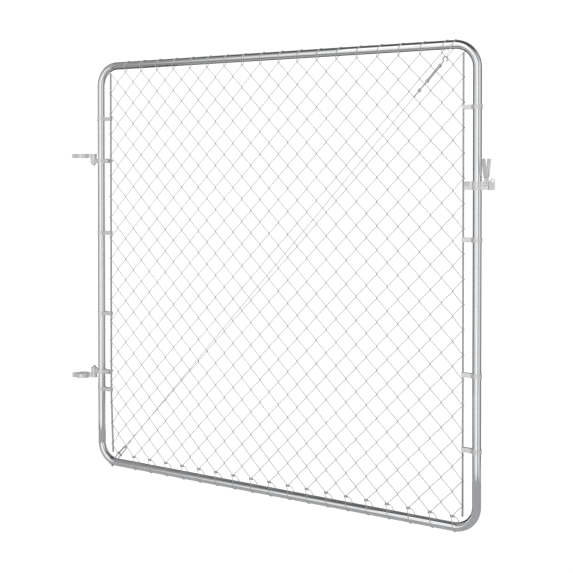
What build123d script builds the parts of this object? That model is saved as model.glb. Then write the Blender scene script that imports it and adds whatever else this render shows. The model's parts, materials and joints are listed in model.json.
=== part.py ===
from build123d import *
import math
import os

# Chain link walk gate: a bent tube frame filled with diamond mesh, hung on two pin hinges.
# Millimetres. +X runs along the gate from its hinges to the latch, +Z is up,
# and -Y is the face that carries the diagonal stay.
# The origin is on the hinge post's centre line, at mid height of the lower post clamp.
# The gate stands swung on its pins by the swivel angle, so its own plane lies at Y = pin_y.

# Gate frame
gate_width = 1829.0
gate_height = 1829.0
tube_od = 33.4
tube_wall = 1.65
corner_radius = 88.9

# Hinges
post_od = 50.8
post_to_pin = 51.0
swivel = 30.0
pin_to_tube = 46.0
lower_clamp_height = 383.5
upper_clamp_drop = 405.6
clamp_to_frame_hinge = 22.5
pin_diameter = 15.9
pin_clearance = 0.1
pin_past_barrel = 9.0
barrel_od = 28.0
barrel_length = 24.0
hinge_strap_height = 20.0
hinge_strap_thickness = 2.5
post_strap_thickness = 3.0
post_ear_reach = 49.0
post_bolt_at = 41.0
frame_ear_reach = 46.0
frame_bolt_at = 36.0
ear_half_gap = 3.5
hinge_web = 7.0
hinge_bolt_diameter = 8.0
post_bolt_length = 30.0
frame_bolt_length = 42.0

# Mesh
mesh_wire = 2.9
mesh_columns = 19
mesh_rows = 37
mesh_side_margin = 50.8
mesh_top_margin = 26.7
mesh_bottom_margin = 37.4
mesh_panels = 4
tie_wire = 2.9
tie_overlap = 4.0

# Tension bars and bands
bar_thickness = 4.8
bar_depth = 7.9
bar_end_margin = 6.0
left_bar_bend_height = 300.0
left_bar_lean = 10.0
left_band_rows = [29.83, 22.42, 14.58, 3.51]
right_band_rows = [30.52, 24.58, 13.89, 3.42]
band_height = 17.0
band_thickness = 2.0
band_bolt_diameter = 6.4
band_bolt_at = 36.0
band_lap = 18.0
band_bolt_length = 13.0

# Fork latch
latch_drop = 517.6
collar_height = 32.0
collar_drop = 5.5
collar_thickness = 2.6
collar_inner_reach = 48.0
collar_inner_bolt = 36.5
collar_outer_reach = 44.0
pivot_at = 34.0
pivot_diameter = 8.0
fork_hub_thickness = 11.0
fork_side_clearance = 0.5
fork_width = 14.0
fork_thickness = 4.6
fork_length = 94.0
fork_gap = 61.5
fork_neck = 23.5
fork_knee = 27.0
fork_knee_half = 12.5
lock_tab_reach = 61.6
lock_tab_bend_at = 42.0
lock_tab_height = 42.5
lock_tab_width = 18.0
lock_hole_diameter = 8.0
latch_bolt_length = 34.0

# Diagonal stay
stay_offset = 11.5
stay_cable = 3.2
stay_low_in = 151.0
stay_low_up = 85.0
stay_high_in = 115.6
stay_high_down = 47.0
stay_eye_length = 23.0
stay_eye_width = 12.0
ferrule_diameter = 7.5
ferrule_length = 13.0
anchor_wire = 4.8
anchor_spread = 13.8
anchor_nut_at = 56.0
anchor_nut_radius = 4.6
anchor_length = 101.0
sling_in = 92.0
sling_wire = 2.4
hook_wire = 5.0
hook_radius = 8.5
hook_tip = 13.6
hook_offset_run = 14.5
hook_bend_start = 5.0
hook_shank_bend = 3.0
buckle_length = 86.0
buckle_diameter = 9.5
buckle_from_hook = 35.0
buckle_end_flats = 12.0
buckle_end_length = 11.0
buckle_sight_hole = 3.2
buckle_eye_gap = 50.0
buckle_thread_in = 25.8
eyebolt_width = 18.0

# Bolts, as shares of their diameter
bolt_head_height = 0.55
bolt_head_rounding = 0.25
bolt_nut_height = 0.8
bolt_nut_radius = 0.85

# Fits
seat_gap = 0.15
bolt_gap = 0.3
link_gap = 0.5
fork_tab_gap = 1.5
wire_bend_slack = 0.05

# Places that follow from the sizes above
tube_radius = tube_od / 2
width_centres = gate_width - tube_od
height_centres = gate_height - tube_od
pin_x = post_to_pin * math.cos(math.radians(swivel))
pin_y = post_to_pin * math.sin(math.radians(swivel))
left_x = pin_x + pin_to_tube
right_x = left_x + width_centres
bottom_z = -lower_clamp_height
top_z = bottom_z + height_centres
half_pitch_x = (width_centres - 2 * mesh_side_margin) / (2 * mesh_columns)
half_pitch_z = (height_centres - mesh_top_margin - mesh_bottom_margin) / mesh_rows
bar_from_tube = mesh_side_margin + mesh_wire / 2 + bar_thickness / 2
left_bar_x = left_x + bar_from_tube
right_bar_x = right_x - bar_from_tube
mesh_left_x = left_x + mesh_side_margin
mesh_top_z = top_z - mesh_top_margin
mesh_bottom_z = bottom_z + mesh_bottom_margin


def polygon(points):
    return make_face(Polyline(*points, close=True))


def teardrop(radius, knee, half, reach):
    """A circle drawn out along +X to a straight throat that runs from the knee to the reach."""
    distance = math.hypot(knee, half)
    angle = math.atan2(half, knee) + math.acos(radius / distance)
    touch_x = radius * math.cos(angle)
    touch_y = radius * math.sin(angle)
    throat = [
        (touch_x, touch_y),
        (knee, half),
        (reach, half),
        (reach, -half),
        (knee, -half),
        (touch_x, -touch_y),
    ]
    return Circle(radius) + polygon(throat)


def strap(inner_radius, thickness, half_gap, reach):
    """A flat strap bent round a tube, with two parallel arms that reach out along +X."""
    knee = inner_radius + 2.5 * thickness
    outer = teardrop(inner_radius + thickness, knee, half_gap + thickness, reach)
    inner = teardrop(inner_radius, knee - thickness, half_gap, reach + thickness)
    return outer - inner


def along_y(radius, length, at_x=0.0, at_z=0.0):
    return Pos(at_x, 0, at_z) * Rot(90, 0, 0) * Cylinder(radius, length)


def bolt(diameter, grip, length):
    """A round-headed bolt along Y, its head on the -Y side of the grip and its nut on the other."""
    head = bolt_head_height * diameter
    nut = bolt_nut_height * diameter
    shank = Pos(0, 0, (length - grip) / 2) * Cylinder(diameter / 2, length)
    cap = Pos(0, 0, -(grip + head) / 2) * Cylinder(diameter, head)
    cap = fillet(cap.edges().group_by(Axis.Z)[0], bolt_head_rounding * diameter)
    hexagon = Pos(0, 0, grip / 2 + seat_gap) * extrude(RegularPolygon(bolt_nut_radius * diameter, 6), nut)
    return Rot(-90, 0, 0) * (Pos(0, 0, -seat_gap) * cap + Pos(0, 0, -seat_gap) * shank + hexagon)


def write(name, shape):
    export_step(shape, os.path.join("parts", name + ".step"))


def write_leaf(name, *pieces):
    """Writes pieces of the swinging gate, drawn in the XZ plane, in the gate's own plane."""
    moved = [Pos(0, pin_y, 0) * piece for piece in pieces]
    write(name, moved[0] if len(moved) == 1 else Compound(children=moved))


# Frame tubes and corner bends
def frame_pieces():
    ring = Circle(tube_radius) - Circle(tube_radius - tube_wall)
    straight_z = height_centres - 2 * corner_radius
    straight_x = width_centres - 2 * corner_radius
    middle_x = (left_x + right_x) / 2
    middle_z = (bottom_z + top_z) / 2
    upright = extrude(ring, straight_z / 2, both=True)
    rail = Rot(0, 90, 0) * extrude(ring, straight_x / 2, both=True)
    bend = revolve(Pos(corner_radius, 0) * ring, Axis.Y, -90)
    pieces = {
        "left_upright": Pos(left_x, 0, middle_z) * upright,
        "right_upright": Pos(right_x, 0, middle_z) * upright,
        "top_rail": Pos(middle_x, 0, top_z) * rail,
        "bottom_rail": Pos(middle_x, 0, bottom_z) * rail,
    }
    corners = [
        ("corner_top_right", right_x - corner_radius, top_z - corner_radius, 0),
        ("corner_bottom_right", right_x - corner_radius, bottom_z + corner_radius, 90),
        ("corner_bottom_left", left_x + corner_radius, bottom_z + corner_radius, 180),
        ("corner_top_left", left_x + corner_radius, top_z - corner_radius, 270),
    ]
    for name, x, z, turn in corners:
        pieces[name] = Pos(x, 0, z) * Rot(0, turn, 0) * bend
    return pieces


# Mesh
def node_x(column):
    return mesh_left_x + (column + 1) * half_pitch_x


def node_z(row):
    return mesh_top_z - (row + 1) * half_pitch_z


def mesh_region():
    """The outline between the tension bars that the mesh panels are cut to."""
    left = left_bar_x + bar_thickness / 2
    right = right_bar_x - bar_thickness / 2
    bend_z = bottom_z + left_bar_bend_height
    return polygon([
        (left, top_z),
        (left, bend_z),
        (left + left_bar_lean, mesh_bottom_z + bar_end_margin),
        (left + left_bar_lean, bottom_z),
        (right, bottom_z),
        (right, top_z),
    ])


def mesh_panel(first, last):
    """Mesh between two columns of crossings, as one lattice of bars fused where they cross."""
    first_row, last_row = -1, mesh_rows - 1
    slant = math.hypot(half_pitch_x, half_pitch_z)
    side = mesh_wire / 2 * slant / half_pitch_z
    rise = mesh_wire / 2 * slant / half_pitch_x
    rows = range(first_row, last_row + 1)
    columns = range(first, last + 1)
    top = []
    for c in columns:
        row = first_row if c % 2 else first_row + 1
        top.append((node_x(c), node_z(row) + rise))
    bottom = []
    for c in reversed(columns):
        row = last_row if c % 2 == 0 else last_row - 1
        bottom.append((node_x(c), node_z(row) - rise))
    right_side = []
    left_side = []
    for r in rows:
        if (r + last) % 2 == 0:
            right_side += [(node_x(last), node_z(r) + rise), (node_x(last), node_z(r) - rise)]
        elif first_row < r < last_row:
            right_side.append((node_x(last - 1) + side, node_z(r)))
    for r in reversed(rows):
        if (r + first) % 2 == 0:
            left_side += [(node_x(first), node_z(r) - rise), (node_x(first), node_z(r) + rise)]
        elif first_row < r < last_row:
            left_side.append((node_x(first + 1) - side, node_z(r)))
    outline = []
    for point in top + right_side + bottom + left_side:
        if not outline or math.dist(point, outline[-1]) > 1e-6:
            outline.append(point)
    if math.dist(outline[0], outline[-1]) < 1e-6:
        outline.pop()
    holes = []
    for c in range(first + 1, last):
        for r in range(first_row + 1, last_row):
            if (c + r) % 2:
                x, z = node_x(c), node_z(r)
                wide, tall = half_pitch_x - side, half_pitch_z - rise
                points = [(x + wide, z), (x, z + tall), (x - wide, z), (x, z - tall)]
                holes.append(Wire(Polyline(*points, close=True).edges()))
    outer = Wire(Polyline(*outline, close=True).edges())
    lattice = extrude(Face(outer, holes), mesh_wire / 2, both=True)
    if first == -1 or last == 2 * mesh_columns - 1:
        lattice = lattice & extrude(mesh_region(), tube_od, both=True)
    return Rot(90, 0, 0) * lattice


def panel_edges():
    last = 2 * mesh_columns - 1
    return [round(-1 + (last + 1) * k / mesh_panels) for k in range(mesh_panels + 1)]


# Rail ties
def rail_tie(margin):
    """A wire ring round a rail whose two ends hold a mesh crossing between them."""
    radius = tube_radius + seat_gap
    outline = strap(radius, tie_wire, mesh_wire / 2 + seat_gap, margin + tie_overlap)
    return extrude(outline, tie_wire / 2, both=True)


def rail_ties():
    top_tie = Rot(0, 90, 0) * rail_tie(mesh_top_margin)
    bottom_tie = Rot(0, -90, 0) * rail_tie(mesh_bottom_margin)
    last = 2 * mesh_columns - 1
    top_places = range(1, last, 2)
    bottom_places = range(2, last, 2)
    top = [Pos(node_x(c), 0, top_z) * top_tie for c in top_places]
    bottom = [Pos(node_x(c), 0, bottom_z) * bottom_tie for c in bottom_places]
    return top, bottom


# Tension bars
def tension_bars():
    top = mesh_top_z - bar_end_margin
    bottom = mesh_bottom_z + bar_end_margin
    half = bar_thickness / 2
    bend_z = bottom_z + left_bar_bend_height
    left = polygon([
        (left_bar_x - half, top),
        (left_bar_x - half, bend_z),
        (left_bar_x - half + left_bar_lean, bottom),
        (left_bar_x + half + left_bar_lean, bottom),
        (left_bar_x + half, bend_z),
        (left_bar_x + half, top),
    ])
    right = polygon([
        (right_bar_x - half, top),
        (right_bar_x - half, bottom),
        (right_bar_x + half, bottom),
        (right_bar_x + half, top),
    ])
    bars = []
    for outline in (left, right):
        bars.append(Rot(90, 0, 0) * extrude(outline, bar_depth / 2, both=True))
    return bars


# Tension bands
band_half_gap = bar_depth / 2 + seat_gap


def tension_band():
    """A closed strap round the upright and the tension bar, its two ends lapped on the +Y side."""
    inner_reach = bar_from_tube + bar_thickness / 2 + seat_gap
    radius = tube_radius + seat_gap
    knee = radius + 2.5 * band_thickness
    outer_half = band_half_gap + band_thickness
    outer = teardrop(radius + band_thickness, knee, outer_half, inner_reach + band_thickness)
    inner = teardrop(radius, knee - band_thickness, band_half_gap, inner_reach)
    lap = Pos(band_bolt_at, outer_half + band_thickness / 2) * Rectangle(band_lap, band_thickness)
    band = extrude(outer - inner + lap, band_height / 2, both=True)
    hole = Pos(band_bolt_at, outer_half, 0) * Rot(90, 0, 0) * Cylinder(
        band_bolt_diameter / 2 + bolt_gap, 4 * band_thickness
    )
    return band - hole


def band_bolt():
    grip = 2 * band_thickness
    middle = band_half_gap + band_thickness
    return Pos(band_bolt_at, middle, 0) * bolt(band_bolt_diameter, grip, band_bolt_length)


# Hinges
def post_hinge(pin_way):
    """A strap that clamps the post, with a boss on the gate side that holds the pin."""
    inner = post_od / 2
    outline = Rot(0, 0, 180) * strap(inner, post_strap_thickness, ear_half_gap, post_ear_reach)
    web = Pos(post_to_pin / 2, 0) * Rectangle(post_to_pin, hinge_web) - Circle(inner)
    boss = Pos(post_to_pin, 0) * Circle(barrel_od / 2)
    pin_hole = Pos(post_to_pin, 0) * Circle(pin_diameter / 2)
    body = extrude(outline + web + boss - pin_hole, hinge_strap_height / 2, both=True)
    body -= along_y(hinge_bolt_diameter / 2 + bolt_gap, 4 * post_od, -post_bolt_at)
    start = hinge_strap_height / 2
    end = clamp_to_frame_hinge + barrel_length / 2 + pin_past_barrel
    pin = Pos(0, 0, (end - start) / 2) * Cylinder(pin_diameter / 2, end + start)
    pin = chamfer(pin.edges().group_by(Axis.Z)[-1], 0.18 * pin_diameter)
    turn = Rot(0, 0, 0) if pin_way > 0 else Rot(180, 0, 0)
    return body, Pos(post_to_pin, 0, 0) * turn * pin


def post_bolt():
    grip = 2 * (ear_half_gap + post_strap_thickness)
    return Pos(-post_bolt_at, 0, 0) * bolt(hinge_bolt_diameter, grip, post_bolt_length)


def frame_hinge():
    """A strap round the gate's upright, with the pin's barrel outside and two ears inside."""
    inner = tube_radius + seat_gap
    outline = strap(inner, hinge_strap_thickness, ear_half_gap, frame_ear_reach)
    web = Pos(-pin_to_tube / 2, 0) * Rectangle(pin_to_tube, hinge_web) - Circle(inner)
    body = extrude(outline + web, hinge_strap_height / 2, both=True)
    body += Pos(-pin_to_tube, 0, 0) * Cylinder(barrel_od / 2, barrel_length)
    body -= Pos(-pin_to_tube, 0, 0) * Cylinder(pin_diameter / 2 + pin_clearance, 2 * barrel_length)
    return body - along_y(hinge_bolt_diameter / 2 + bolt_gap, 4 * tube_od, frame_bolt_at)


def frame_hinge_bolt():
    grip = 2 * (ear_half_gap + hinge_strap_thickness)
    return Pos(frame_bolt_at, 0, 0) * bolt(hinge_bolt_diameter, grip, frame_bolt_length)


# Fork latch
tab_middle = lock_tab_reach - lock_tab_width / 2
tab_shoulder = lock_tab_height - lock_tab_width / 2 - collar_height / 2 - collar_drop
tab_sweep = math.hypot(tab_middle - pivot_at, tab_shoulder) + lock_tab_width / 2
tine_spread = (fork_gap / 2 + fork_thickness - fork_knee_half) / (fork_length - fork_knee)
fork_half_at_tab = fork_knee_half + max(0, tab_sweep - fork_knee) * tine_spread
ear_inside = fork_hub_thickness / 2 + fork_side_clearance
tab_inside = max(ear_inside, fork_half_at_tab + fork_tab_gap)


def lock_tab_silhouette():
    """The back ear and its lock tab as seen along Y: level with the collar, then a round-topped tab."""
    foot = -collar_height / 2 - collar_drop
    tab_left = lock_tab_reach - lock_tab_width
    low_part = Rectangle(tab_left + collar_inner_reach, collar_height)
    low_part = Pos((tab_left - collar_inner_reach) / 2, -collar_drop) * low_part
    stem = Pos(tab_middle, (foot + tab_shoulder) / 2) * Rectangle(lock_tab_width, tab_shoulder - foot)
    crown = Pos(tab_middle, tab_shoulder) * Circle(lock_tab_width / 2)
    lock_hole = Pos(tab_middle, tab_shoulder) * Circle(lock_hole_diameter / 2)
    flat = low_part + stem + crown - lock_hole
    return Rot(90, 0, 0) * extrude(flat, 2 * tube_od, both=True)


def collar_half(with_tab):
    """Half of the collar on the +Y side: a half ring with a flat ear each way along X."""
    inner = tube_radius + seat_gap
    outer = inner + collar_thickness
    inside_gap = ear_half_gap
    ring = Circle(outer)
    inner_ear = polygon([
        (-collar_inner_reach, inside_gap),
        (0, inside_gap),
        (0, inside_gap + collar_thickness),
        (-collar_inner_reach, inside_gap + collar_thickness),
    ])
    upper = polygon([
        (-outer, inside_gap),
        (0, inside_gap),
        (0, ear_inside),
        (outer, ear_inside),
        (outer, outer),
        (-outer, outer),
    ])
    if with_tab:
        step_out = tab_inside - ear_inside
        outer_ear = polygon([
            (0, ear_inside),
            (lock_tab_bend_at, ear_inside),
            (lock_tab_bend_at + step_out, tab_inside),
            (lock_tab_reach, tab_inside),
            (lock_tab_reach, tab_inside + collar_thickness),
            (lock_tab_bend_at + step_out, tab_inside + collar_thickness),
            (lock_tab_bend_at, ear_inside + collar_thickness),
            (0, ear_inside + collar_thickness),
        ])
    else:
        outer_ear = polygon([
            (0, ear_inside),
            (collar_outer_reach, ear_inside),
            (collar_outer_reach, ear_inside + collar_thickness),
            (0, ear_inside + collar_thickness),
        ])
    outline = (ring & upper) + inner_ear + outer_ear - Circle(inner)
    if with_tab:
        half = extrude(outline, lock_tab_height, both=True) & lock_tab_silhouette()
    else:
        half = Pos(0, 0, -collar_drop) * extrude(outline, collar_height / 2, both=True)
    half -= along_y(hinge_bolt_diameter / 2 + bolt_gap, 4 * tube_od, -collar_inner_bolt)
    return half - along_y(pivot_diameter / 2 + bolt_gap, 4 * tube_od, pivot_at)


def latch_fork():
    """The fork as it stands open: a hub on the pivot, a neck and two tines that straddle the post."""
    hub = fork_hub_thickness / 2
    tip = fork_gap / 2
    inner_knee = fork_knee + fork_thickness / 2
    one_side = [
        (hub, 0),
        (hub, fork_neck),
        (fork_knee_half, fork_knee),
        (tip + fork_thickness, fork_length),
        (tip, fork_length),
        (fork_knee_half - fork_thickness, inner_knee),
    ]
    other_side = [(-across, up) for across, up in reversed(one_side)]
    outline = polygon(one_side + other_side)
    body = Plane.YZ.location * extrude(outline, fork_width / 2, both=True)
    body += along_y(fork_width / 2, fork_hub_thickness)
    return body - along_y(pivot_diameter / 2 + bolt_gap, 4 * fork_hub_thickness)


# Diagonal stay
stay_low = (left_x + stay_low_in, bottom_z + stay_low_up)
stay_high = (right_x - stay_high_in, top_z - stay_high_down)
stay_angle = math.degrees(math.atan2(stay_high[1] - stay_low[1], stay_high[0] - stay_low[0]))
stay_length = math.dist(stay_low, stay_high)


def on_stay(shape, distance=0.0):
    """Places a shape drawn along +X on the stay's line, that far up from its lower eye."""
    x = stay_low[0] + distance * math.cos(math.radians(stay_angle))
    z = stay_low[1] + distance * math.sin(math.radians(stay_angle))
    return Pos(x, -stay_offset, z) * Rot(0, -stay_angle, 0) * shape


def wire_along(points, radii, diameter):
    """A round wire that follows a filleted line in the XZ plane."""
    path = FilletPolyline(*[(x, 0, z) for x, z in points], radius=radii)
    return sweep(path.location_at(0) * Circle(diameter / 2), path=path)


def eye(length, width, thickness):
    """A long ring in the XY plane, centred on the origin and drawn out along X."""
    ring = SlotOverall(length, width) - SlotOverall(length - 2 * thickness, width - 2 * thickness)
    return extrude(ring, thickness / 2, both=True)


buckle_top = stay_length - buckle_from_hook
buckle_bottom = buckle_top - buckle_length
cable_top = buckle_bottom - buckle_eye_gap


def stay_cable_piece():
    lower_eye = eye(stay_eye_length, stay_eye_width, stay_cable)
    upper_eye = Pos(cable_top, 0, 0) * eye(stay_eye_length, stay_eye_width, stay_cable)
    start = stay_eye_length / 2 - stay_cable / 2
    run = cable_top - 2 * start
    body = Pos(start + run / 2, 0, 0) * Rot(0, 90, 0) * Cylinder(stay_cable / 2, run)
    for middle in (start + ferrule_length / 2, start + run - ferrule_length / 2):
        body += Pos(middle, 0, 0) * Rot(0, 90, 0) * Cylinder(ferrule_diameter / 2, ferrule_length)
    return on_stay(body + lower_eye + upper_eye)


anchor_top = -stay_eye_length / 2 + stay_cable + link_gap + anchor_wire / 2


def anchor_legs(diameter):
    """The U bolt's two legs and bow, from inside the corner tube up into the cable's lower eye."""
    half = anchor_spread / 2
    points = [(-anchor_length, -half), (anchor_top, -half), (anchor_top, half), (-anchor_length, half)]
    return on_stay(wire_along(points, half - wire_bend_slack, diameter))


def anchor():
    half = anchor_spread / 2
    body = anchor_legs(anchor_wire)
    for side in (-half, half):
        nut = Rot(0, 90, 0) * extrude(RegularPolygon(anchor_nut_radius, 6), anchor_wire / 2, both=True)
        body += on_stay(Pos(-anchor_nut_at, 0, side) * nut)
    return body


def turnbuckle():
    """A pipe turnbuckle: a round barrel with a six-sided end for each screw and a hole to see them by."""
    body = Rot(0, 90, 0) * Cylinder(buckle_diameter / 2, buckle_length)
    flats = RegularPolygon(buckle_end_flats / 2, 6, major_radius=False)
    for middle in (-1, 1):
        end = middle * (buckle_length - buckle_end_length) / 2
        body += Pos(end, 0, 0) * Rot(0, 90, 0) * extrude(flats, buckle_end_length / 2, both=True)
    body -= along_y(buckle_sight_hole / 2, 2 * buckle_diameter)
    body -= Rot(0, 90, 0) * Cylinder(hook_wire / 2 + seat_gap, 2 * buckle_length)
    return on_stay(body, (buckle_top + buckle_bottom) / 2)


def stay_hook():
    r = hook_radius
    bow = r - wire_bend_slack
    points = [
        (-buckle_from_hook - buckle_thread_in, 0),
        (-hook_offset_run - hook_bend_start, 0),
        (-hook_offset_run, r),
        (0, r),
        (0, -r),
        (-hook_tip, -r),
    ]
    radii = [hook_shank_bend, hook_shank_bend, bow, bow]
    return on_stay(wire_along(points, radii, hook_wire), stay_length)


def stay_eyebolt():
    outer = eyebolt_width
    hole = stay_eye_width / 2 - stay_cable
    corner = hole - math.sqrt(hole**2 - (hook_wire / 2) ** 2)
    centre = cable_top + stay_eye_length / 2 - stay_cable - corner - link_gap - hook_wire + outer / 2
    ring = extrude(Circle(outer / 2) - Circle(outer / 2 - hook_wire), hook_wire / 2, both=True)
    start = centre + outer / 2 - hook_wire / 2
    end = buckle_bottom + buckle_thread_in
    shank = Pos((start + end) / 2, 0, 0) * Rot(0, 90, 0) * Cylinder(hook_wire / 2, end - start)
    return on_stay(Pos(centre, 0, 0) * Rot(90, 0, 0) * ring + shank)


def stay_sling():
    """A wire loop over the top rail, drawn down to the inside of the hook."""
    inner = stay_length - hook_wire / 2 - link_gap
    hook_x = stay_low[0] + inner * math.cos(math.radians(stay_angle))
    hook_z = stay_low[1] + inner * math.sin(math.radians(stay_angle))
    rail = Vector(right_x - sling_in, 0, top_z)
    hook = Vector(hook_x, -stay_offset, hook_z)
    way = hook - rail
    lean = math.acos(abs(way.Z) / way.length)
    radius = tube_radius / math.cos(lean) + seat_gap
    half = hook_wire / 2 + 2 * link_gap
    outer = teardrop(radius + sling_wire, way.length, half + sling_wire, way.length + sling_wire)
    inner = teardrop(radius, way.length - sling_wire, half, way.length)
    plane = Plane(origin=rail, x_dir=way, z_dir=way.cross(Vector(0, 1, 0)))
    return plane.location * extrude(outer - inner, sling_wire / 2, both=True)


# Writing every piece
os.makedirs("parts", exist_ok=True)

frame = frame_pieces()
leg_holes = anchor_legs(anchor_wire + 2 * seat_gap)
for name in ("corner_bottom_left", "bottom_rail"):
    frame[name] = frame[name] - leg_holes
for name, piece in frame.items():
    write_leaf(name, piece)

edges = panel_edges()
for number in range(mesh_panels):
    write_leaf(f"mesh_panel_{number + 1}", mesh_panel(edges[number], edges[number + 1]))

top_ties, bottom_ties = rail_ties()
write_leaf("top_rail_ties", *top_ties)
write_leaf("bottom_rail_ties", *bottom_ties)

left_bar, right_bar = tension_bars()
write_leaf("left_tension_bar", left_bar)
write_leaf("right_tension_bar", right_bar)

band = tension_band()
band_side_bolt = band_bolt()
sides = [("left", left_x, 0, left_band_rows), ("right", right_x, 180, right_band_rows)]
for side, x, turn, band_rows in sides:
    bolts = []
    for number, row in enumerate(band_rows):
        z = node_z(row)
        place = Pos(x, 0, z) * Rot(0, turn, 0)
        write_leaf(f"{side}_band_{number + 1}", place * band)
        bolts.append(place * band_side_bolt)
    write_leaf(f"{side}_band_bolts", *bolts)

clamp_z = {"lower": 0.0, "upper": top_z - upper_clamp_drop}
post_bolts = []
hinge_bolts = []
for name, way in (("lower", 1), ("upper", -1)):
    z = clamp_z[name]
    clamp, pin = post_hinge(way)
    swung = Pos(0, 0, z) * Rot(0, 0, swivel)
    write(f"{name}_post_hinge", swung * clamp)
    write(f"{name}_hinge_pin", swung * pin)
    hinge_z = z + way * clamp_to_frame_hinge
    write_leaf(f"{name}_frame_hinge", Pos(left_x, 0, hinge_z) * frame_hinge())
    post_bolts.append(swung * post_bolt())
    hinge_bolts.append(Pos(left_x, 0, hinge_z) * frame_hinge_bolt())
write("post_hinge_bolts", Compound(children=post_bolts))
write_leaf("frame_hinge_bolts", *hinge_bolts)

latch = Pos(right_x, 0, top_z - latch_drop)
write_leaf("latch_collar_back", latch * collar_half(True))
write_leaf("latch_collar_front", latch * mirror(collar_half(False), Plane.XZ))
inner_grip = 2 * (ear_half_gap + collar_thickness)
outer_grip = 2 * (fork_hub_thickness / 2 + fork_side_clearance + collar_thickness)
clamp_bolt = bolt(hinge_bolt_diameter, inner_grip, latch_bolt_length)
write_leaf("latch_clamp_bolt", latch * Pos(-collar_inner_bolt, 0, 0) * clamp_bolt)
pivot_bolt = bolt(pivot_diameter, outer_grip, latch_bolt_length)
write_leaf("fork_pivot_bolt", latch * Pos(pivot_at, 0, 0) * pivot_bolt)
write_leaf("latch_fork", latch * Pos(pivot_at, 0, 0) * latch_fork())

write_leaf("stay_cable", stay_cable_piece())
write_leaf("stay_anchor", anchor())
write_leaf("stay_turnbuckle", turnbuckle())
write_leaf("stay_hook", stay_hook())
write_leaf("stay_eyebolt", stay_eyebolt())
write_leaf("stay_sling", stay_sling())
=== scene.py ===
import json
import math
import bpy
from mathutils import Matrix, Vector


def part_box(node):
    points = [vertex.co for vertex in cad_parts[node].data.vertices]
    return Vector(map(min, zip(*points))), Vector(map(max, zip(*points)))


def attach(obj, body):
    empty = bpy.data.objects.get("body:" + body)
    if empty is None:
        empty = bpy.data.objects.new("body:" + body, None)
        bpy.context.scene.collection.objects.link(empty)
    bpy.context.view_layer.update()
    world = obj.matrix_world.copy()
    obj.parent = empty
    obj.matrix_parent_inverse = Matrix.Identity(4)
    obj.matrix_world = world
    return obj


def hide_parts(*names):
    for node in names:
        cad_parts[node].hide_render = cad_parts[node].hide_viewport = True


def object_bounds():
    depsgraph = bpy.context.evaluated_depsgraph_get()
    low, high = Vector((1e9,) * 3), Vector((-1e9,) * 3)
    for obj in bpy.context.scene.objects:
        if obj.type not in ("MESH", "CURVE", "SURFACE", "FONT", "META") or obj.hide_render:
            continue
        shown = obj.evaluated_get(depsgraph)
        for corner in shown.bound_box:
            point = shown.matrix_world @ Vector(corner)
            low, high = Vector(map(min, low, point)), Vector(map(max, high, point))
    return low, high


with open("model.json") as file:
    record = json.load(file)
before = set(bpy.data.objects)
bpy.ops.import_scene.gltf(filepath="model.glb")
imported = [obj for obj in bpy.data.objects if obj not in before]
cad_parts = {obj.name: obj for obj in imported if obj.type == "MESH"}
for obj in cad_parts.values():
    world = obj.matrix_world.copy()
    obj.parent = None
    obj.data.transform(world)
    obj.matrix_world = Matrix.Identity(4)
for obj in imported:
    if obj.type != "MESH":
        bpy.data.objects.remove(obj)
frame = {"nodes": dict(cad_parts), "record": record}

cad_low, cad_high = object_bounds()
nodes = frame["nodes"]

# Metres. +X runs along the gate to the latch, +Z is up, and -Y is the face with the stay.

# Sizes of the wire mesh
wire_radius = 0.00145
columns = 19
rows = 37
weave_depth = 0.0017
bend_reach = 0.0026
bend_past_middle = 1.1 * wire_radius
bend_steps = 4
bar_turn_drop = 0.0045
mesh_top_margin = 0.0267
mesh_bottom_margin = 0.0374
left_bar_bend_height = 0.300
pairs_in_panel = (4, 5, 5, 4)
wire_gap = 0.0001
seat_gap = 0.00015

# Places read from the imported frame
upright_low, upright_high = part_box("left_upright")
rail_low, rail_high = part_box("top_rail")
floor_rail_low, floor_rail_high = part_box("bottom_rail")
left_bar_low, left_bar_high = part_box("left_tension_bar")
right_bar_low, right_bar_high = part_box("right_tension_bar")
tube_radius = (upright_high.x - upright_low.x) / 2
left_x = (upright_low.x + upright_high.x) / 2
gate_y = (upright_low.y + upright_high.y) / 2
right_x = sum(corner.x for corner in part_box("right_upright")) / 2
top_z = (rail_low.z + rail_high.z) / 2
bottom_z = (floor_rail_low.z + floor_rail_high.z) / 2
bar_width = right_bar_high.x - right_bar_low.x
bar_depth = right_bar_high.y - right_bar_low.y
left_bar_x = left_bar_low.x + bar_width / 2
left_bar_lean = left_bar_high.x - left_bar_low.x - bar_width
right_bar_x = (right_bar_low.x + right_bar_high.x) / 2
left_bar_bend = bottom_z + left_bar_bend_height
mesh_left = left_bar_x - bar_width / 2 - wire_radius
mesh_right = right_bar_x + bar_width / 2 + wire_radius
mesh_top = top_z - mesh_top_margin
mesh_bottom = bottom_z + mesh_bottom_margin
half_column = (mesh_right - mesh_left) / (2 * columns)
half_row = (mesh_top - mesh_bottom) / rows


def column_x(column):
    return mesh_left + (column + 1) * half_column


def row_z(row):
    return mesh_top - (row + 1) * half_row


# Modelling helpers
def alone(piece):
    """Makes one piece the only thing selected, and active."""
    bpy.ops.object.select_all(action="DESELECT")
    piece.select_set(True)
    bpy.context.view_layer.objects.active = piece


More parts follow.
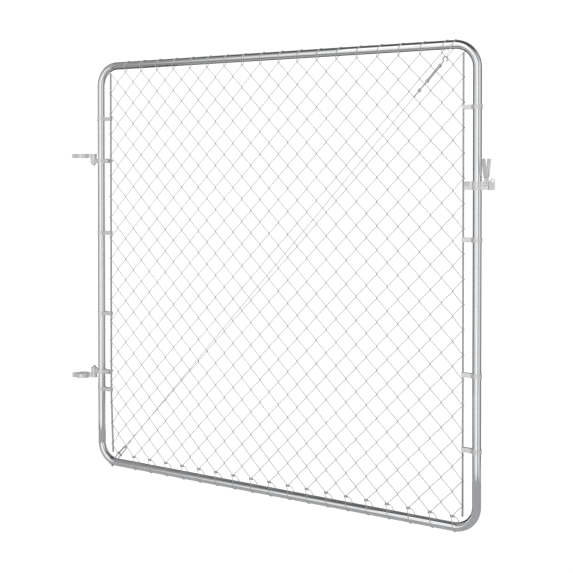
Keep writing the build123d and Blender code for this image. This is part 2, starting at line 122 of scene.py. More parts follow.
def bent_wire(name, points, radius, sides=8, closed=False):
    """A round wire drawn point by point, then turned into a mesh. Y is from the gate's own plane."""
    bpy.ops.object.select_all(action="DESELECT")
    bpy.ops.curve.primitive_bezier_curve_add(enter_editmode=True)
    bpy.ops.curve.select_all(action="SELECT")
    bpy.ops.curve.delete(type="VERT")
    for x, y, z in points:
        bpy.ops.curve.vertex_add(location=(x, y + gate_y, z))
    bpy.ops.curve.select_all(action="SELECT")
    bpy.ops.curve.spline_type_set(type="POLY")
    if closed:
        bpy.ops.curve.cyclic_toggle()
    bpy.ops.object.editmode_toggle()
    piece = bpy.context.object
    piece.name = name
    piece.data.bevel_depth = radius
    piece.data.bevel_resolution = sides // 2 - 2
    piece.data.use_fill_caps = not closed
    bpy.ops.object.convert(target="MESH")
    bpy.ops.object.transform_apply(location=True, rotation=True, scale=True)
    bpy.ops.object.shade_smooth_by_angle(angle=math.radians(50))
    return piece


def copy_at(piece, shift):
    """A copy with its own mesh, moved by the shift."""
    alone(piece)
    bpy.ops.object.duplicate(linked=False)
    bpy.ops.transform.translate(value=shift)
    return bpy.context.object


def joined(name, pieces):
    """Several pieces made one, with its place in its mesh."""
    bpy.ops.object.select_all(action="DESELECT")
    for piece in pieces:
        piece.select_set(True)
    bpy.context.view_layer.objects.active = pieces[0]
    bpy.ops.object.join()
    bpy.ops.object.transform_apply(location=True, rotation=True, scale=True)
    whole = bpy.context.object
    whole.name = name
    whole.data.name = name
    return whole


def row_of(piece, count, step):
    """The piece repeated along X, as one mesh."""
    alone(piece)
    array = piece.modifiers.new("repeat", "ARRAY")
    array.count = count
    array.use_relative_offset = False
    array.use_constant_offset = True
    array.constant_offset_displace = (step, 0, 0)
    bpy.ops.object.modifier_apply(modifier=array.name)
    return piece


def turned(name, profile, sides=24):
    """A closed solid of revolution on Z, drawn up ring by ring from (height, radius) steps."""
    height, radius = profile[0]
    bpy.ops.object.select_all(action="DESELECT")
    bpy.ops.mesh.primitive_circle_add(
        vertices=sides, radius=radius, fill_type="NGON", location=(0, 0, height), enter_editmode=True
    )
    piece = bpy.context.object
    piece.name = name
    for next_height, next_radius in profile[1:]:
        rise = {"value": (0, 0, next_height - height)}
        bpy.ops.mesh.extrude_region_move(TRANSFORM_OT_translate=rise)
        grow = next_radius / radius
        bpy.ops.transform.resize(value=(grow, grow, 1), center_override=(0, 0, next_height))
        height, radius = next_height, next_radius
    bpy.ops.mesh.select_all(action="SELECT")
    bpy.ops.mesh.normals_make_consistent(inside=False)
    bpy.ops.object.editmode_toggle()
    bpy.ops.object.transform_apply(location=True, rotation=True, scale=True)
    bpy.ops.object.shade_smooth_by_angle(angle=math.radians(35))
    return piece


def threaded(start, end, radius, pitch):
    """The steps of a screw thread along a turned piece."""
    groove = 0.88 * radius
    steps = []
    for turn in range(int((end - start) / pitch)):
        base = start + turn * pitch
        steps += [(base + 0.25 * pitch, radius), (base + 0.75 * pitch, groove)]
    return steps


def along(piece, direction, place):
    """Swings a piece from Z to a direction and moves it to its place."""
    alone(piece)
    piece.rotation_euler = Vector(direction).to_track_quat("Z", "Y").to_euler()
    piece.location = place
    bpy.ops.object.transform_apply(location=True, rotation=True, scale=True)
    return piece


# Woven mesh
def bar_at(side, z):
    """The middle of the tension bar on that side at a height."""
    if side > 0:
        return right_bar_x
    lean = max(0.0, (left_bar_bend - z) / (left_bar_bend - left_bar_low.z))
    return left_bar_x + left_bar_lean * min(lean, 1.0)


def mesh_bend(side, x, z, first_step, last_step):
    """A wire's turn at a crossing, hooked past the crossing's middle."""
    points = []
    for step in range(first_step, last_step + 1):
        angle = math.pi * step / bend_steps
        along_gate = x + side * (bend_past_middle - bend_reach * (1 - math.sin(angle)))
        across = -side * weave_depth * math.cos(angle)
        points.append((along_gate, across, z + bend_reach * math.cos(angle)))
    return points


def bar_bend(side, z):
    """A wire's turn round the tension bar."""
    bar_x = bar_at(side, z)
    outside = bar_width / 2 + wire_radius + wire_gap
    depth = bar_depth / 2 + wire_radius + wire_gap
    turn = [
        (-outside * 0.85, depth),
        (bar_width * 0.35, depth),
        (outside - 0.0005, depth - 0.0004),
        (outside, depth - 0.0018),
    ]
    path = turn + [(out, -across) for out, across in reversed(turn)]
    points = []
    for step, (out, across) in enumerate(path):
        height = z + bar_turn_drop * (1 - 2 * step / (len(path) - 1))
        points.append((bar_x + side * out, -side * across, height))
    return points


def woven_wire(name, k):
    """One zigzag wire, which runs from the top to the bottom between two columns of crossings."""
    points = []
    for row in range(-1, rows):
        column = k if (k + row) % 2 == 0 else k + 1
        side = -1 if column == k else 1
        if column in (-1, 2 * columns - 1):
            points += bar_bend(side, row_z(row))
            continue
        first_step = bend_steps // 2 if row == -1 else 0
        last_step = bend_steps // 2 if row == rows - 1 else bend_steps
        points += mesh_bend(side, column_x(column), row_z(row), first_step, last_step)
    return bent_wire(name, points, wire_radius)


def mesh_panels():
    """Four panels of woven mesh: pairs of wires repeated, and an edge wire at each end."""
    even_wire = woven_wire("even_wire", 0)
    odd_wire = woven_wire("odd_wire", 1)
    pair = joined("wire_pair", [even_wire, odd_wire])
    first_wire = woven_wire("first_wire", -1)
    last_wire = woven_wire("last_wire", 2 * columns - 2)
    panels = []
    start = 0
    for number, pairs in enumerate(pairs_in_panel, start=1):
        panel = copy_at(pair, (start * 2 * half_column, 0, 0))
        panel = row_of(panel, pairs, 2 * half_column)
        edge = {1: [first_wire], 4: [last_wire]}.get(number, [])
        panels.append(joined(f"woven_mesh_{number}", [panel] + edge))
        start += pairs
    bpy.data.objects.remove(pair)
    return panels


# Wire ends wrapped round the rails
wrap_radius = tube_radius + wire_radius + wire_gap
wrap_steps = 14


def coil(start_x, end_x, z, turns, radius, steps=8):
    """A wire twisted along X round the crossing."""
    points = []
    for step in range(int(turns * steps) + 1):
        share = step / (turns * steps)
        angle = 2 * math.pi * step / steps
        x = start_x + (end_x - start_x) * share
        points.append((x, radius * math.sin(angle), z + radius * math.cos(angle)))
    return points


def top_wrap():
    """A wire end that climbs the rail's front, crosses its top to the right and comes back behind."""
    drop = top_z - mesh_top
    touch = math.degrees(math.acos(wrap_radius / drop))
    points = [(0.0005, -0.0031, mesh_top + 0.001)]
    start_x, slant = 0.003, 0.022
    for step in range(wrap_steps + 1):
        share = step / wrap_steps
        angle = math.radians(touch + (360 - 2 * touch) * share)
        lean = slant * (share / 0.5 if share < 0.5 else (1 - share) / 0.5)
        x = start_x + lean
        points.append((x, -wrap_radius * math.sin(angle), top_z - wrap_radius * math.cos(angle)))
    points.append((start_x, 0.0034, mesh_top + 0.0025))
    points.append((0.0015, 0.0036, mesh_top - 0.001))
    points.append((-0.001, 0.0030, mesh_top - 0.0035))
    return bent_wire("top_wrap", points, wire_radius, sides=6)


def bottom_wrap():
    """A wire end that curls down behind the rail, comes up its front and is twisted at the crossing."""
    points = [
        (0.006, 0.0032, mesh_bottom - 0.0005),
        (0.013, 0.0045, mesh_bottom - 0.003),
        (0.019, 0.0065, mesh_bottom - 0.009),
    ]
    first_angle, last_angle = 150, -155
    first_x, slant = 0.024, 0.020
    for step in range(wrap_steps + 1):
        share = step / wrap_steps
        angle = math.radians(first_angle + (last_angle - first_angle) * share)
        x = first_x - slant * share
        points.append((x, wrap_radius * math.sin(angle), bottom_z - wrap_radius * math.cos(angle)))
    points.append((-0.002, -0.0042, mesh_bottom - 0.006))
    points.append((-0.006, -0.0034, mesh_bottom - 0.001))
    twist_reach, twist_turns, twist_radius = 0.008, 4.5, 0.0033
    points += coil(-twist_reach, twist_reach, mesh_bottom, twist_turns, twist_radius)
    return bent_wire("bottom_wrap", points, wire_radius, sides=6)


def rail_wraps():
    """The wraps of both rails, one at each crossing that ends at the rail."""
    last = 2 * columns - 1
    wraps = []
    for name, model, start in (("top", top_wrap(), 1), ("bottom", bottom_wrap(), 2)):
        copies = []
        for column in range(start, last, 2):
            copies.append(copy_at(model, (column_x(column), 0, 0)))
        bpy.data.objects.remove(model)
        wraps.append(joined(f"{name}_rail_wraps", copies))
    return wraps


# Bolts
def nut_steps(start, end, corner, chamfer):
    """The steps of a nut's outline, with its corners taken off at both faces."""
    flat = 0.9 * corner
    return [(start, flat), (start + chamfer[0], corner), (end - chamfer[1], corner), (end, flat)]


def carriage_bolt(diameter, grip, length):
    """A domed bolt on Z with its nut, the middle of its grip at the origin."""
    radius = diameter / 2
    seat = -grip / 2 - seat_gap
    head = 0.55 * diameter
    end = seat + length
    pitch = 0.16 * diameter
    nut_seat = grip / 2 + seat_gap
    nut_end = nut_seat + 0.8 * diameter
    dome = [
        (seat - head, 0.20 * diameter),
        (seat - 0.94 * head, 0.48 * diameter),
        (seat - 0.76 * head, 0.74 * diameter),
        (seat - 0.48 * head, 0.92 * diameter),
        (seat - 0.16 * head, diameter),
        (seat, 0.985 * diameter),
    ]
    shank = [(seat, radius), (nut_end, radius)]
    shank += threaded(nut_end, end - 0.5 * pitch, radius, pitch)
    shank += [(end, 0.72 * radius)]
    bolt = turned("bolt_shank", dome + shank, sides=20)
    chamfer = (0.10 * diameter, 0.12 * diameter)
    nut = turned("bolt_nut", nut_steps(nut_seat, nut_end, 0.85 * diameter, chamfer), sides=6)
    return joined("carriage_bolt", [bolt, nut])


def bolts_at(name, size, places, direction=(0, 1, 0)):
    """The same bolt at several places, as one piece."""
    model = along(carriage_bolt(*size), direction, (0, 0, 0))
    copies = [copy_at(model, place) for place in places]
    bpy.data.objects.remove(model)
    return joined(name, copies)


def middle(node):
    low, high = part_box(node)
    return (low + high) / 2


# Bolts by diameter, grip and length, and how far they stand from their tube or post
band_bolt = (0.0064, 0.004, 0.013)
frame_bolt = (0.008, 0.012, 0.042)
post_bolt = (0.008, 0.013, 0.030)
fork_pivot = (0.008, 0.0172, 0.034)
latch_clamp = (0.008, 0.0122, 0.034)
band_bolt_from_tube = 0.036
frame_bolt_from_tube = 0.036
post_bolt_from_post = 0.041
fork_pivot_from_tube = 0.034
latch_clamp_from_tube = 0.0365
band_thickness = 0.002
band_bolt_behind = bar_depth / 2 + seat_gap + band_thickness
post_swing = math.radians(30)


def band_bolts(side):
    if side == "left":
        x = left_x + band_bolt_from_tube
    else:
        x = right_x - band_bolt_from_tube
    places = []
    for number in range(1, 5):
        places.append((x, gate_y + band_bolt_behind, middle(f"{side}_band_{number}").z))
    return bolts_at(f"{side}_band_fixings", band_bolt, places)


def frame_hinge_fixings():
    places = []
    for name in ("lower", "upper"):
        places.append((left_x + frame_bolt_from_tube, gate_y, middle(f"{name}_frame_hinge").z))
    return bolts_at("frame_hinge_fixings", frame_bolt, places)


def post_hinge_fixings():
    reach = post_bolt_from_post
    places = []
    for name in ("lower", "upper"):
        z = middle(f"{name}_post_hinge").z
        places.append((-reach * math.cos(post_swing), -reach * math.sin(post_swing), z))
    across = (-math.sin(post_swing), math.cos(post_swing), 0)
    return bolts_at("post_hinge_fixings", post_bolt, places, across)


def latch_fixings():
    """The fork's pivot bolt, outside the upright, and the collars' clamp bolt, inside it."""
    pivot_place = (right_x + fork_pivot_from_tube, gate_y, middle("fork_pivot_bolt").z)
    clamp_place = (right_x - latch_clamp_from_tube, gate_y, middle("latch_clamp_bolt").z)
    pivot = bolts_at("fork_pivot", fork_pivot, [pivot_place])
    return pivot, bolts_at("latch_clamp_fixing", latch_clamp, [clamp_place])


# Diagonal stay
stay_forward = 0.0115
foot_from_upright = 0.151
foot_above_rail = 0.085
head_from_upright = 0.1156
head_below_rail = 0.047
stay_y = gate_y - stay_forward
stay_foot = Vector((left_x + foot_from_upright, stay_y, bottom_z + foot_above_rail))
stay_head = Vector((right_x - head_from_upright, stay_y, top_z - head_below_rail))
stay_way = (stay_head - stay_foot).normalized()
stay_up = Vector((0, 1, 0)).cross(stay_way) * -1
stay_length = (stay_head - stay_foot).length
hook_wire = 0.005
link_gap = 0.0005
buckle_from_hook = 0.035
buckle_length = 0.086
buckle_from_rope = 0.050
screw_inside_buckle = 0.0258
eyebolt_screw_below = 0.012
hook_screw_above = 0.008
buckle_high = stay_length - buckle_from_hook
buckle_low = buckle_high - buckle_length
rope_high = buckle_low - buckle_from_rope
rope_radius = 0.0016
strand_radius = 0.00056
strand_lay = 0.026
strand_steps = 7
eye_reach = 0.0098
# The rope's eyes by half width and by the distance from middle to neck
lower_eye = (0.0090, 0.0240)
upper_eye = (0.0043, 0.0120)
lower_eye_turn = math.radians(45)
sleeve_length = 0.014
anchor_nut_at = -0.056
anchor_nut_length = 0.0070
anchor_nut_corner = 0.0064
anchor_nut_chamfer = (0.0007, 0.0007)
anchor_nut_off_tube = 0.0003
anchor_leg_at = 0.0069
anchor_leg_radius = 0.0024
anchor_end_length = 0.015
anchor_end_beyond = 0.006


def on_stay(along_stay, across=0.0, up=0.0):
    """A point on the stay's line: along it, across it in Y, and above it."""
    return stay_foot + stay_way * along_stay + Vector((0, across, 0)) + stay_up * up


def off_gate(point):
    """A place on the stay, with its Y from the gate's plane as bent_wire takes it."""
    return point.x, point.y - gate_y, point.z


def eye_path(middle_at, way, wide, neck):
    """The rope's loop round an eye, from its short tail to where it joins the straight run."""
    tail = [(neck + 0.0155, -0.0018), (neck + 0.0080, -0.0018), (neck, -0.0020)]
    out = [(neck / 2, 0.88 * wide), (0.0, wide)]
    shape = tail + [(run, -across) for run, across in out]
    bow = wide - eye_reach
    for step in range(9):
        angle = -math.pi / 2 - math.pi * step / 8
        shape.append((bow + wide * math.cos(angle), wide * math.sin(angle)))
    shape += out[::-1] + [(neck, 0.0018), (neck + 0.0080, 0.0015), (neck + 0.0180, 0.0004)]
    return [(middle_at + way * run, across) for run, across in shape]


def resampled(path, step):
    """The same line with points at even steps along it."""
    points = [path[0]]
    travelled = 0.0
    wanted = step
    for first, second in zip(path, path[1:]):
        length = math.dist(first, second)
        while wanted <= travelled + length:
            share = (wanted - travelled) / length
            points.append(tuple(a + (b - a) * share for a, b in zip(first, second)))
            wanted += step
        travelled += length
    return points


def stranded_rope():
    """Six strands laid round the stay's line, with a loop at each end."""
    lower = eye_path(0.0, 1, *lower_eye)
    upper = eye_path(rope_high, -1, *upper_eye)
    path = resampled(lower + list(reversed(upper)), strand_lay / strand_steps)
    strands = []
    lay_radius = rope_radius - strand_radius
    for number in range(6):
        points = []
        for step, (run, across) in enumerate(path):
            before = path[max(step - 1, 0)]
            after = path[min(step + 1, len(path) - 1)]
            length = math.dist(before, after)
            way_run, way_across = (after[0] - before[0]) / length, (after[1] - before[1]) / length
            angle = 2 * math.pi * (step / strand_steps + number / 6)
            side = lay_radius * math.cos(angle)
            out, up = across + way_run * side, lay_radius * math.sin(angle)
            turn = lower_eye_turn * (1 - run / rope_high)
            cosine, sine = math.cos(turn), math.sin(turn)
            point = on_stay(run - way_across * side, out * cosine - up * sine, out * sine + up * cosine)
            points.append(off_gate(point))
        strands.append(bent_wire("strand", points, strand_radius, sides=6))
    return joined("stranded_rope", strands)


def rope_sleeve(name, start, turn):
    """An oval sleeve pressed flat round two runs of rope."""
    length = sleeve_length
    ridge, groove, mouth = 0.0033, 0.0028, 0.0024
    chamfer, plain_end = 0.0006, 0.0015
    profile = [(0, mouth), (chamfer, ridge)]
    presses = 3
    for press in range(presses):
        base = plain_end + press * (length - 2 * plain_end) / presses
        span = (length - 2 * plain_end) / presses
        profile += [(base + 0.15 * span, ridge), (base + 0.35 * span, groove)]
        profile += [(base + 0.65 * span, groove), (base + 0.85 * span, ridge)]
    profile += [(length - chamfer, ridge), (length, mouth)]
    sleeve = turned(name, profile, sides=20)
    alone(sleeve)
    sleeve.scale = (1.2, 0.85, 1.0)
    bpy.ops.object.transform_apply(location=True, rotation=True, scale=True)
    sleeve.rotation_euler = (0, 0, turn)
    bpy.ops.object.transform_apply(location=True, rotation=True, scale=True)
    return along(sleeve, stay_way, on_stay(start))


def rope_with_eyes():
    rope = stranded_rope()
    low = rope_sleeve("lower_sleeve", lower_eye[1] - 0.001, lower_eye_turn)
    high = rope_sleeve("upper_sleeve", rope_high - upper_eye[1] + 0.001 - sleeve_length, 0.0)
    return rope, joined("rope_sleeves", [low, high])


def stay_nut(middle_at, up):
    """A nut on one leg of the U bolt, at a place along the stay's line."""
    steps = nut_steps(0, anchor_nut_length, anchor_nut_corner, anchor_nut_chamfer)
    nut = turned("anchor_nut", steps, sides=6)
    return along(nut, stay_way, on_stay(middle_at - anchor_nut_length / 2, 0.0, up))


def outside_corner():
    """How far back along the stay's line the corner's outer side lies."""
    low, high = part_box("corner_bottom_left")
    bend = high.x - left_x
    wall = math.sqrt(tube_radius**2 - stay_forward**2)
    foot = Vector((stay_foot.x - left_x - bend, 0, stay_foot.z - bottom_z - bend))
    run = foot.dot(stay_way)
    return -run - math.sqrt(run**2 - foot.length_squared + (bend + wall) ** 2)


def anchor_nuts():
    """The U bolt's nuts above the frame's corner, and its ends with their nuts below it."""
    outside = outside_corner()
    wire = anchor_leg_radius
    pieces = []
    for up in (-anchor_leg_at, anchor_leg_at):
        pieces.append(stay_nut(anchor_nut_at, up))
        pieces.append(stay_nut(outside + anchor_nut_off_tube, up))
        profile = [(0, 0.8 * wire), (0.0008, wire), (anchor_end_length, wire)]
        stud = turned("anchor_end", profile, sides=14)
        pieces.append(along(stud, stay_way, on_stay(outside - anchor_end_beyond, 0.0, up)))
    return joined("anchor_nuts", pieces)


def stay_threads():
    """The screwed ends of the hook and of the eyebolt, inside the turnbuckle and just outside it."""
    radius = hook_wire / 2 + 0.0001
    pitch = 0.0008
    plain_end = 0.0002
    eyebolt_screw = (buckle_low - eyebolt_screw_below, buckle_low + screw_inside_buckle)
    hook_screw = (buckle_high - screw_inside_buckle, buckle_high + hook_screw_above)
    pieces = []
    for start, end in (eyebolt_screw, hook_screw):
        length = end - start
        thread = threaded(plain_end, length - 2 * plain_end, radius, pitch)
        profile = [(0, 0.9 * radius)] + thread + [(length, 0.8 * radius)]
        screw = turned("screw", profile, sides=14)
        pieces.append(along(screw, stay_way, on_stay(start)))
    return joined("stay_threads", pieces)


def eyebolt_ring():
    """The eyebolt's round ring and its shank up to the turnbuckle."""
    outer = 0.0078
    wire = hook_wire / 2
    rope = 2 * rope_radius
    eye_half_length, eye_half_width = 0.0115, 0.006
    hole = eye_half_width - rope
    corner = hole - math.sqrt(hole**2 - wire**2)
    centre = rope_high + eye_half_length - rope - corner - link_gap - hook_wire + outer
    points = []
    for step in range(24):
        angle = 2 * math.pi * step / 24
        run = centre + (outer - wire) * math.cos(angle)
        points.append(off_gate(on_stay(run, 0.0, (outer - wire) * math.sin(angle))))
    ring = bent_wire("eyebolt_ring", points, wire, sides=12, closed=True)
    into_screw = 0.001
    start, end = centre + outer - wire, buckle_low - eyebolt_screw_below + into_screw
    shank = turned("eyebolt_shank", [(0, wire), (end - start, wire)], sides=16)
    return joined("eyebolt_ring", [ring, along(shank, stay_way, on_stay(start))])


def rail_sling():
    """A wire loop that hangs from the top rail and holds the hook."""
    wire = 0.0012
    from_upright = 0.092
    rail = Vector((right_x - from_upright, gate_y, top_z))
    hook = on_stay(stay_length - hook_wire / 2 - link_gap)
    way = hook - rail
    reach = way.length
    lean = math.acos(abs(way.z) / reach)
    way.normalize()
    normal = way.cross(Vector((0, 1, 0))).normalized()
    across = normal.cross(way)
    radius = tube_radius / math.cos(lean) + seat_gap + wire
    half = hook_wire / 2 + 2 * link_gap + wire
    end = reach + wire - half
    touch = math.acos((radius - half) / end)
    points = []
    steps = 28
    for step in range(steps + 1):
        angle = touch + (2 * math.pi - 2 * touch) * step / steps
        points.append((radius * math.cos(angle), radius * math.sin(angle)))
    for step in range(9):
        angle = -touch + 2 * touch * step / 8
        points.append((end + half * math.cos(angle), half * math.sin(angle)))
    route = []
    for run, out in points:
        route.append(off_gate(rail + way * run + across * out))
    return bent_wire("rail_sling", route, wire, sides=10, closed=True)


# Materials
def new_group(name, inputs, outputs):
    """An empty node group with named sockets."""
    group = bpy.data.node_groups.new(name, "ShaderNodeTree")
    for label, kind, value in inputs:
        socket = group.interface.new_socket(label, in_out="INPUT", socket_type=kind)
        socket.default_value = value
    for label, kind in outputs:
        group.interface.new_socket(label, in_out="OUTPUT", socket_type=kind)
    return group, group.nodes.new("NodeGroupInput"), group.nodes.new("NodeGroupOutput")


def zinc_group():
    """Zinc on steel: crystals of slightly different grey, and a finer cloudiness over them."""
    group, given, result = new_group(
        "zinc_surface",
        [
            ("Light", "NodeSocketColor", (0.8, 0.8, 0.8, 1)),
            ("Dark", "NodeSocketColor", (0.6, 0.6, 0.6, 1)),
            ("Crystal scale", "NodeSocketFloat", 90.0),
            ("Cloud scale", "NodeSocketFloat", 14.0),
            ("Smoothest", "NodeSocketFloat", 0.2),
            ("Roughest", "NodeSocketFloat", 0.35),
        ],
        [("Color", "NodeSocketColor"), ("Roughness", "NodeSocketFloat"), ("Height", "NodeSocketFloat")],
    )
    make = group.nodes.new
    link = group.links.new
    place = make("ShaderNodeTexCoord")
    crystals = make("ShaderNodeTexVoronoi")
    crystals.feature = "F1"
    link(place.outputs["Object"], crystals.inputs["Vector"])
    link(given.outputs["Crystal scale"], crystals.inputs["Scale"])
    shade = make("ShaderNodeSeparateColor")
    link(crystals.outputs["Color"], shade.inputs["Color"])
    clouds = make("ShaderNodeTexNoise")
    clouds.inputs["Detail"].default_value = 4.0
    link(place.outputs["Object"], clouds.inputs["Vector"])
    link(given.outputs["Cloud scale"], clouds.inputs["Scale"])
    blend = make("ShaderNodeMix")
    blend.data_type = "FLOAT"
    blend.inputs["Factor"].default_value = 0.55
    link(shade.outputs["Red"], blend.inputs["A"])
    link(clouds.outputs["Fac"], blend.inputs["B"])
    tint = make("ShaderNodeMix")
    tint.data_type = "RGBA"
    link(blend.outputs["Result"], tint.inputs["Factor"])
    link(given.outputs["Dark"], tint.inputs["A"])
    link(given.outputs["Light"], tint.inputs["B"])
    link(tint.outputs["Result"], result.inputs["Color"])
    gloss = make("ShaderNodeMapRange")
    link(blend.outputs["Result"], gloss.inputs["Value"])
    link(given.outputs["Roughest"], gloss.inputs["To Min"])
    link(given.outputs["Smoothest"], gloss.inputs["To Max"])
    link(gloss.outputs["Result"], result.inputs["Roughness"])
    link(blend.outputs["Result"], result.inputs["Height"])
    return group


zinc = zinc_group()


def metal(name, light, dark, crystals, roughness, bump=0.0001, metallic=0.5):
    """A zinc coated metal with its own greys, crystal size and gloss."""
    material = bpy.data.materials.new(name)
    material.use_nodes = True
    tree = material.node_tree
    shader = tree.nodes["Principled BSDF"]
    shader.inputs["Metallic"].default_value = metallic
    surface = tree.nodes.new("ShaderNodeGroup")
    surface.node_tree = zinc
    surface.inputs["Light"].default_value = (*light, 1)
    surface.inputs["Dark"].default_value = (*dark, 1)
    surface.inputs["Crystal scale"].default_value = crystals
    surface.inputs["Smoothest"].default_value, surface.inputs["Roughest"].default_value = roughness
    relief = tree.nodes.new("ShaderNodeBump")
    relief.inputs["Strength"].default_value = 0.25
    relief.inputs["Distance"].default_value = bump
    link = tree.links.new
    link(surface.outputs["Color"], shader.inputs["Base Color"])
    link(surface.outputs["Roughness"], shader.inputs["Roughness"])
    link(surface.outputs["Height"], relief.inputs["Height"])
    link(relief.outputs["Normal"], shader.inputs["Normal"])
    return material


tube_zinc = metal(
    "tube_zinc", light=(0.93, 0.94, 0.95), dark=(0.82, 0.83, 0.85),
    crystals=95.0, roughness=(0.03, 0.08), bump=0.00002, metallic=1.0,
)
wire_zinc = metal(
    "wire_zinc", light=(0.88, 0.88, 0.89), dark=(0.75, 0.76, 0.77),
    crystals=400.0, roughness=(0.36, 0.48), metallic=0.45,
)
bar_zinc = metal(
    "bar_zinc", light=(0.86, 0.87, 0.89), dark=(0.70, 0.71, 0.73),
    crystals=160.0, roughness=(0.25, 0.42), bump=0.0002,
)
# Painted shade: a darker copy of bar_zinc that makes the right tension bar look shaded.
shaded_bar_zinc = metal(
    "shaded_bar_zinc", light=(0.54, 0.55, 0.56), dark=(0.42, 0.43, 0.44),
    crystals=160.0, roughness=(0.25, 0.42), bump=0.0002,
)
fitting_zinc = metal(
    "fitting_zinc", light=(0.97, 0.97, 0.98), dark=(0.84, 0.85, 0.86),
    crystals=150.0, roughness=(0.20, 0.34), metallic=0.4,
)
# Painted shade: a darker copy of fitting_zinc that makes the latch fork look shaded.
shaded_fork_zinc = metal(
    "shaded_fork_zinc", light=(0.82, 0.82, 0.83), dark=(0.66, 0.67, 0.68),
    crystals=150.0, roughness=(0.20, 0.34),
)
bolt_zinc = metal(
    "bolt_zinc", light=(0.96, 0.97, 0.98), dark=(0.80, 0.81, 0.84),
    crystals=500.0, roughness=(0.16, 0.28), metallic=0.75,
)
rope_steel = metal(
    "rope_steel", light=(0.95, 0.95, 0.96), dark=(0.80, 0.80, 0.81),
    crystals=600.0, roughness=(0.26, 0.40),
)
stay_steel = metal(
    "stay_steel", light=(0.70, 0.71, 0.73), dark=(0.52, 0.53, 0.55),
    crystals=300.0, roughness=(0.26, 0.40), metallic=0.6,
)

slot_material = {
    "tube": tube_zinc,
    "wire": wire_zinc,
    "bar": bar_zinc,
    "fittings": fitting_zinc,
    "bolts": bolt_zinc,
}
own_finish = {
    # painted shade: the right tension bar and the latch fork get darker copies of their zinc
    "right_tension_bar": shaded_bar_zinc,
    "latch_fork": shaded_fork_zinc,
    "stay_hook": stay_steel,
    "stay_turnbuckle": stay_steel,
    "stay_anchor": stay_steel,
}


def coat(piece, finish):
    piece.data.materials.clear()
    piece.data.materials.append(finish)


def finish_cad_nodes():
    """Gives every CAD node its own finish, or else the one that its slot names."""
    for row in frame["record"]["subparts"]:
        name = row["node"]
        coat(nodes[name], own_finish.get(name, slot_material[row["material_slot"]]))


def dress(piece, finish, slot, body, *replaced):
    """Gives a new piece its finish, its body and the nodes that it stands for."""
    coat(piece, finish)
    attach(piece, body)
    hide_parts(*replaced)


finish_cad_nodes()
for number, panel in enumerate(mesh_panels(), start=1):
    dress(panel, wire_zinc, "wire", "gate_leaf", f"mesh_panel_{number}")
for wraps, node in zip(rail_wraps(), ("top_rail_ties", "bottom_rail_ties")):
    dress(wraps, wire_zinc, "wire", "gate_leaf", node)
for side in ("left", "right"):
    dress(band_bolts(side), bolt_zinc, "bolts", "gate_leaf", f"{side}_band_bolts")
dress(frame_hinge_fixings(), bolt_zinc, "bolts", "gate_leaf", "frame_hinge_bolts")
dress(post_hinge_fixings(), bolt_zinc, "bolts", "post_hinges", "post_hinge_bolts")
pivot_bolt, clamp_bolt = latch_fixings()
dress(pivot_bolt, bolt_zinc, "bolts", "gate_leaf", "fork_pivot_bolt")
dress(clamp_bolt, bolt_zinc, "bolts", "gate_leaf", "latch_clamp_bolt")
rope, sleeves = rope_with_eyes()
dress(rope, rope_steel, "wire", "gate_leaf", "stay_cable")
dress(sleeves, stay_steel, "fittings", "gate_leaf", "stay_cable")
dress(stay_threads(), stay_steel, "bolts", "gate_leaf")
dress(anchor_nuts(), stay_steel, "bolts", "gate_leaf")
dress(eyebolt_ring(), stay_steel, "fittings", "gate_leaf", "stay_eyebolt")
dress(rail_sling(), rope_steel, "wire", "gate_leaf", "stay_sling")


# Floor and light
floor_gap = 0.10
room_strength = 1.1
# The room's brightness by degrees round the gate, and by height from straight down to straight up
room_around = [
    (-180, 0.85), (-164, 0.75), (-156, 0.02), (-76, 0.03), (-68, 0.80), (-58, 0.75), (-52, 0.30),
    (-40, 0.30), (-33, 0.75), (-22, 0.95), (-8, 0.72), (4, 0.90), (27, 1.05), (36, 0.32),
    (50, 0.27), (58, 0.75), (74, 0.82), (86, 0.48), (109, 0.58), (121, 0.03), (142, 0.02),
    (152, 0.85), (180, 0.85),
]
room_by_height = [
    (0.0, 0.24), (0.10, 0.32), (0.24, 0.80), (0.42, 1.0), (0.50, 1.0), (0.62, 1.0), (0.74, 0.72),
    (0.84, 0.40), (0.91, 0.09), (1.0, 0.05),
]
# How far the screens give way to plain white, by the same height
plain_overhead = [(0.0, 0.0), (0.72, 0.0), (0.92, 1.0)]


def pale_floor():
    bpy.ops.object.select_all(action="DESELECT")
    bpy.ops.mesh.primitive_plane_add(size=1, location=(1, 0, cad_low.z - floor_gap))
    floor = bpy.context.object
    floor.name = "floor"
    floor.scale = (3.8, 2.0, 1)
    paper = bpy.data.materials.new("pale_floor")
    paper.use_nodes = True
    tree = paper.node_tree
    matt = tree.nodes["Principled BSDF"]
    matt.inputs["Base Color"].default_value = (0.80, 0.80, 0.80, 1)
    matt.inputs["Roughness"].default_value = 0.9
    matt.inputs["Specular IOR Level"].default_value = 0.0
    matt.inputs["Emission Color"].default_value = (1, 1, 1, 1)
    matt.inputs["Emission Strength"].default_value = 0.14
    glow = tree.nodes.new("ShaderNodeEmission")
    glow.inputs["Strength"].default_value = 1.15
    seen = tree.nodes.new("ShaderNodeLightPath")
    share = tree.nodes.new("ShaderNodeMath")
    share.operation = "MULTIPLY"
    share.inputs[1].default_value = 0.9
    mix = tree.nodes.new("ShaderNodeMixShader")
    link = tree.links.new
    link(seen.outputs["Is Camera Ray"], share.inputs[0])
    link(share.outputs["Value"], mix.inputs["Fac"])
    link(matt.outputs["BSDF"], mix.inputs[1])
    link(glow.outputs["Emission"], mix.inputs[2])
    link(mix.outputs["Shader"], tree.nodes["Material Output"].inputs["Surface"])
    floor.data.materials.append(paper)


def ramp(tree, stops):
    """A grey ramp from (position, brightness) stops."""
    node = tree.nodes.new("ShaderNodeValToRGB")
    band = node.color_ramp
    while len(band.elements) < len(stops):
        band.elements.new(0.5)
    for element, (position, value) in zip(band.elements, stops):
        element.position = position
        element.color = (value, value, value, 1)
    return node


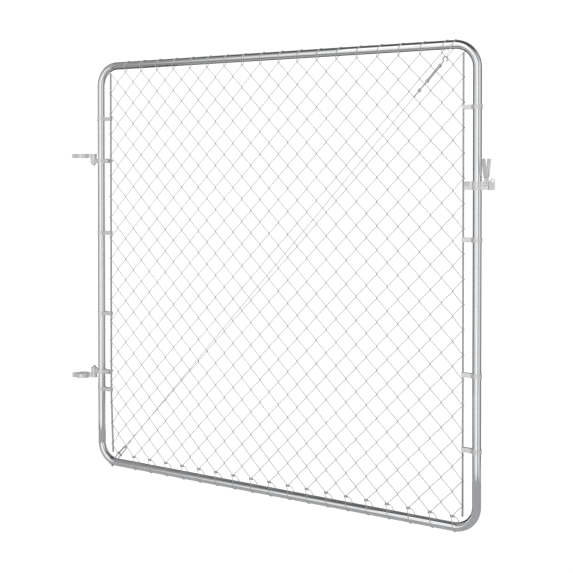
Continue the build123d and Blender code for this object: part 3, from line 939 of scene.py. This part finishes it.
def room_angle(tree, parts):
    """How far round the gate a direction lies, from 0 to 1."""
    link = tree.links.new
    flip = tree.nodes.new("ShaderNodeMath")
    flip.operation = "MULTIPLY"
    flip.inputs[1].default_value = -1.0
    link(parts.outputs["Y"], flip.inputs[0])
    turn = tree.nodes.new("ShaderNodeMath")
    turn.operation = "ARCTAN2"
    link(parts.outputs["X"], turn.inputs[0])
    link(flip.outputs["Value"], turn.inputs[1])
    unit = tree.nodes.new("ShaderNodeMapRange")
    unit.inputs["From Min"].default_value = -math.pi
    unit.inputs["From Max"].default_value = math.pi
    link(turn.outputs["Value"], unit.inputs["Value"])
    return unit.outputs["Result"]


def room_screens(tree):
    """The room's soft dark screens by angle, gone overhead, and its brightness by height."""
    link = tree.links.new
    place = tree.nodes.new("ShaderNodeTexCoord")
    parts = tree.nodes.new("ShaderNodeSeparateXYZ")
    link(place.outputs["Generated"], parts.inputs["Vector"])
    screens = ramp(tree, [((angle + 180) / 360, value) for angle, value in room_around])
    link(room_angle(tree, parts), screens.inputs["Fac"])
    rise = tree.nodes.new("ShaderNodeMapRange")
    rise.inputs["From Min"].default_value = -1.0
    link(parts.outputs["Z"], rise.inputs["Value"])
    sky = ramp(tree, room_by_height)
    link(rise.outputs["Result"], sky.inputs["Fac"])
    overhead = ramp(tree, plain_overhead)
    link(rise.outputs["Result"], overhead.inputs["Fac"])
    merged = tree.nodes.new("ShaderNodeMix")
    merged.data_type = "RGBA"
    link(overhead.outputs["Color"], merged.inputs["Factor"])
    link(screens.outputs["Color"], merged.inputs["A"])
    merged.inputs["B"].default_value = (1, 1, 1, 1)
    both = tree.nodes.new("ShaderNodeMix")
    both.data_type = "RGBA"
    both.blend_type = "MULTIPLY"
    both.inputs["Factor"].default_value = 1.0
    link(merged.outputs["Result"], both.inputs["A"])
    link(sky.outputs["Color"], both.inputs["B"])
    return both.outputs["Result"]


def studio_light():
    """A white room with soft darker screens round it, which draw the edges of the bright metal."""
    world = bpy.data.worlds.new("studio")
    bpy.context.scene.world = world
    world.use_nodes = True
    tree = world.node_tree
    link = tree.links.new
    room = tree.nodes["Background"]
    link(room_screens(tree), room.inputs["Color"])
    room.inputs["Strength"].default_value = room_strength
    white = tree.nodes.new("ShaderNodeBackground")
    white.inputs["Color"].default_value = (1, 1, 1, 1)
    white.inputs["Strength"].default_value = room_strength
    seen = tree.nodes.new("ShaderNodeLightPath")
    mix = tree.nodes.new("ShaderNodeMixShader")
    link(seen.outputs["Is Camera Ray"], mix.inputs["Fac"])
    link(room.outputs["Background"], mix.inputs[1])
    link(white.outputs["Background"], mix.inputs[2])
    link(mix.outputs["Shader"], tree.nodes["World Output"].inputs["Surface"])


def key_light():
    """A large soft box in front of the gate and above it, turned to its lower part."""
    place, target = Vector((0.5, -3.5, 3.5)), Vector((1.0, 0, 0.4))
    bpy.ops.object.light_add(type="AREA", location=place)
    box = bpy.context.object
    box.name = "key_light"
    box.data.shape = "SQUARE"
    box.data.size = 2.5
    box.data.energy = 12
    box.rotation_euler = (target - place).to_track_quat("-Z", "Y").to_euler()


def camera():
    """The photograph's view: level with the gate's upper part, from the latch side, shifted down."""
    place = (3.1892, -3.5472, 0.9637)
    pitch_down = 0.8
    turned_left = 30.656
    lens = 64.03
    shift_down = 0.1866
    bpy.ops.object.camera_add(location=place)
    eye = bpy.context.object
    eye.name = "camera"
    eye.rotation_euler = (math.radians(90 - pitch_down), 0, math.radians(turned_left))
    eye.data.sensor_width = 36.0
    eye.data.lens = lens
    eye.data.shift_y = -shift_down
    bpy.context.scene.camera = eye


pale_floor()
studio_light()
key_light()
camera()
bpy.context.scene.view_settings.view_transform = "Standard"
